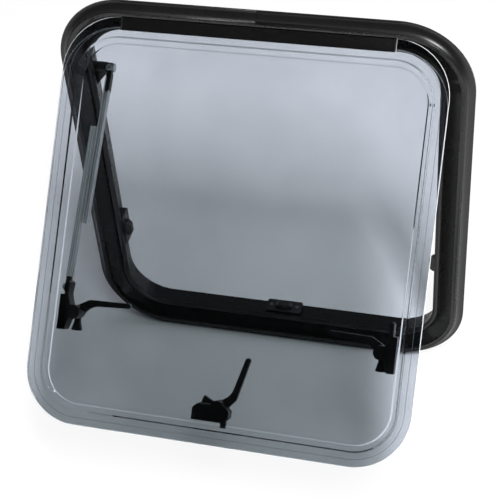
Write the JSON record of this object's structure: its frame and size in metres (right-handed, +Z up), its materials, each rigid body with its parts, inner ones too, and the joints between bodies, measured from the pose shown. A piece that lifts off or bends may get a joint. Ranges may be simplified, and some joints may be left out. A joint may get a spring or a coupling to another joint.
{
  "type": "caravan window",
  "caption": "Top-hung caravan window: a black frame with rounded corners, a tinted double acrylic sash on a hinge strip, turn latches, keepers and a sliding stay.",
  "frame": {"origin": "middle of the wall cut-out, on the outer skin of the wall that the flange's back lies on", "axes": "+X to the right seen from outside, +Y into the vehicle, +Z up; the sash stands open as pictured"},
  "size_m": [0.55, 0.4042, 0.577],
  "materials": {
    "frame_black": "satin black powder coat on aluminium",
    "strip_black": "satin black coated aluminium strip",
    "seal_rubber": "matt black rubber",
    "tinted_acrylic": "clear grey-tinted acrylic",
    "latch_black": "matt black moulded plastic",
    "stay_aluminium": "natural anodised aluminium profile",
    "pin_grey": "plain metal pin with a round cap"
  },
  "bodies": {
    "frame": {"outer_frame": "frame_black", "hinge_rail": "frame_black", "frame_seal": "seal_rubber", "keeper_left": "latch_black", "keeper_right": "latch_black", "keeper_bottom": "latch_black", "stay_bracket": "latch_black", "stay_pivot_cap": "pin_grey"},
    "sash": {"outer_pane": "tinted_acrylic", "inner_pane": "tinted_acrylic", "hinge_strip": "strip_black", "strip_cap_left": "latch_black", "strip_cap_right": "latch_black", "vent_plug": "latch_black", "latch_base_left": "latch_black", "latch_base_right": "latch_black", "latch_base_bottom": "latch_black", "latch_cap_left": "latch_black", "latch_cap_right": "latch_black", "latch_cap_bottom": "latch_black", "stay_pin": "pin_grey"},
    "lever_left": {"lever_left": "latch_black"},
    "lever_right": {"lever_right": "latch_black"},
    "lever_bottom": {"lever_bottom": "latch_black"},
    "stay_rod": {"stay_rod": "stay_aluminium", "rod_end": "latch_black"},
    "stay_channel": {"stay_channel": "stay_aluminium", "channel_head": "latch_black"}
  },
  "joints": [
    {"name": "sash_hinge", "type": "hinge", "parent": "frame", "child": "sash", "pos_m": [0, -0.0052, 0.2643], "axis": [-1, 0, 0], "range_deg": [-43.7, 11.3]},
    {"name": "stay_rod_pivot", "type": "hinge", "parent": "sash", "child": "stay_rod", "pos_m": [-0.217, -0.22853, -0.00848], "axis": [-1, 0, 0], "range_deg": [-10, 3]},
    {"name": "stay_channel_pivot", "type": "hinge", "parent": "frame", "child": "stay_channel", "pos_m": [-0.213, 0.013, 0.172], "axis": [-1, 0, 0], "range_deg": [-54, 14]},
    {"name": "latch_left", "type": "hinge", "parent": "sash", "child": "lever_left", "pos_m": [-0.2, -0.24347, -0.03569], "axis": [0, -0.723, 0.6909], "range_deg": [-90, 0]},
    {"name": "latch_right", "type": "hinge", "parent": "sash", "child": "lever_right", "pos_m": [0.2, -0.24347, -0.03569], "axis": [0, 0.723, -0.6909], "range_deg": [-90, 0]},
    {"name": "latch_bottom", "type": "hinge", "parent": "sash", "child": "lever_bottom", "pos_m": [0.004, -0.30945, -0.10474], "axis": [0, 0.723, -0.6909], "range_deg": [-102, 8]}
  ],
  "couplings": [
    {"joint": "stay_rod_pivot", "follows": "sash_hinge", "ratio": 0.22},
    {"joint": "stay_channel_pivot", "follows": "sash_hinge", "ratio": 1.22}
  ]
}
